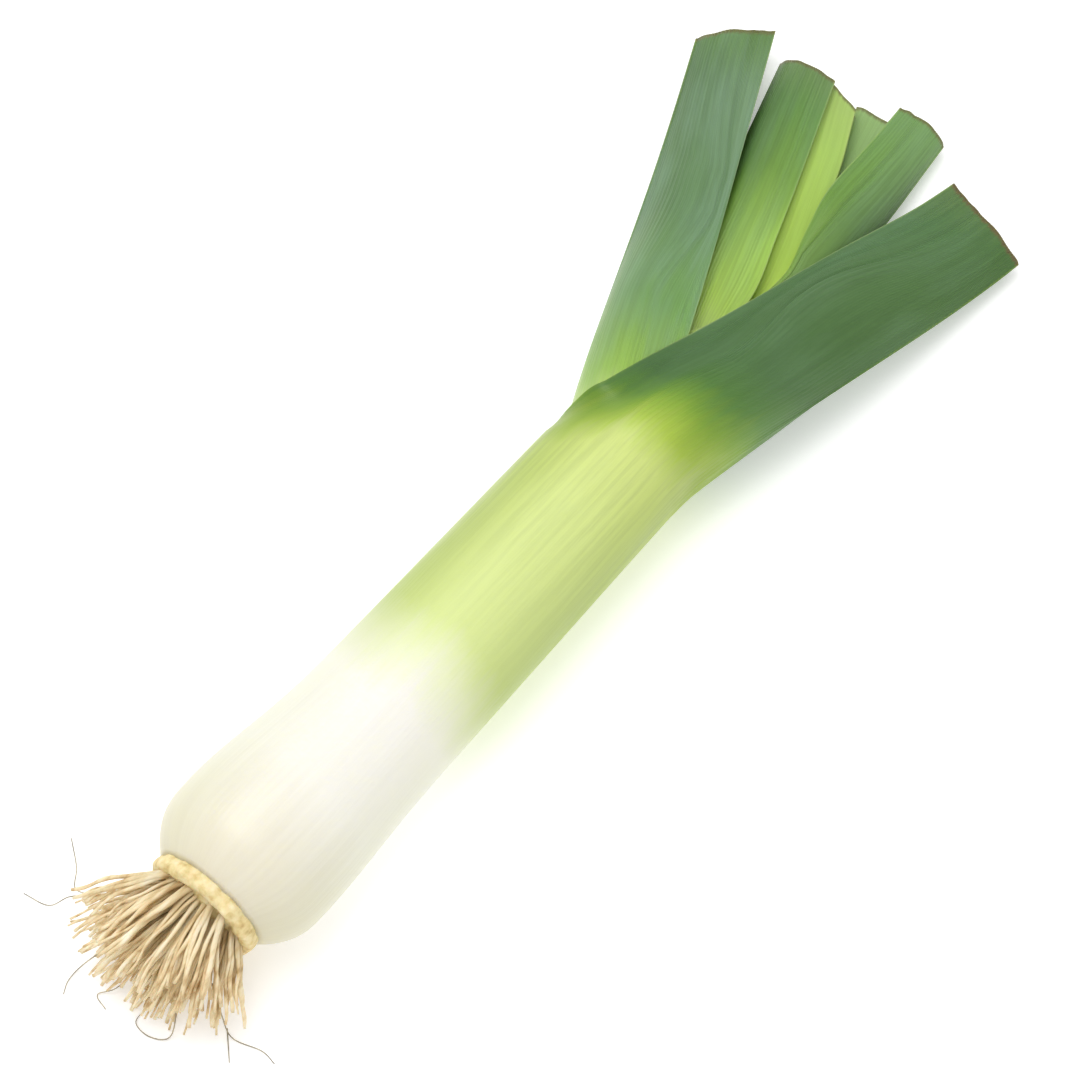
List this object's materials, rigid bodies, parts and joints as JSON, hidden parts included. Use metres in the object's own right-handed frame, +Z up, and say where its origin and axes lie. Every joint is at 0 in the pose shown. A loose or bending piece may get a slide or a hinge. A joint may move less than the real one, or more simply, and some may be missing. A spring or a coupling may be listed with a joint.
{
  "type": "leek",
  "caption": "Trimmed leek lying on its side: a swollen white shaft of nested leaf sheaths, cut green leaves in two ranks and a brush of roots on its root plate.",
  "frame": {"origin": "on the flat of the belly, on the floor under the middle of the shaft, 85 mm from the root plate's ring", "axes": "+X along the shaft from the root plate to the leaf tips, +Y towards the rank of the second leaf, +Z up from the surface that the leek lies on"},
  "size_m": [0.3333, 0.1157, 0.0449],
  "materials": {
    "outer_leaf": "waxy",
    "second_leaf": "waxy",
    "inner_leaf": "waxy",
    "heart_leaf": "satin",
    "root_plate": "matt, corky",
    "root": "matt, fibrous"
  },
  "bodies": {
    "root": {"outer_leaf_right": "outer_leaf", "second_leaf_left": "second_leaf", "third_leaf_right": "inner_leaf", "fourth_leaf_left": "inner_leaf", "fifth_leaf_right": "heart_leaf", "heart_leaf": "heart_leaf", "root_plate": "root_plate", "root_01": "root", "root_02": "root", "root_03": "root", "root_04": "root", "root_05": "root", "root_06": "root", "root_07": "root", "root_08": "root", "root_09": "root", "root_10": "root", "root_11": "root", "root_12": "root", "root_13": "root", "root_14": "root", "root_15": "root", "root_16": "root", "root_17": "root", "root_18": "root", "root_19": "root", "root_20": "root", "root_21": "root", "root_22": "root", "root_23": "root", "root_24": "root", "root_25": "root", "root_26": "root", "root_27": "root", "root_28": "root", "root_29": "root", "root_30": "root", "root_31": "root", "root_32": "root", "root_33": "root", "root_34": "root", "root_35": "root", "root_36": "root", "root_37": "root", "root_38": "root", "root_39": "root", "root_40": "root"}
  },
  "joints": []
}
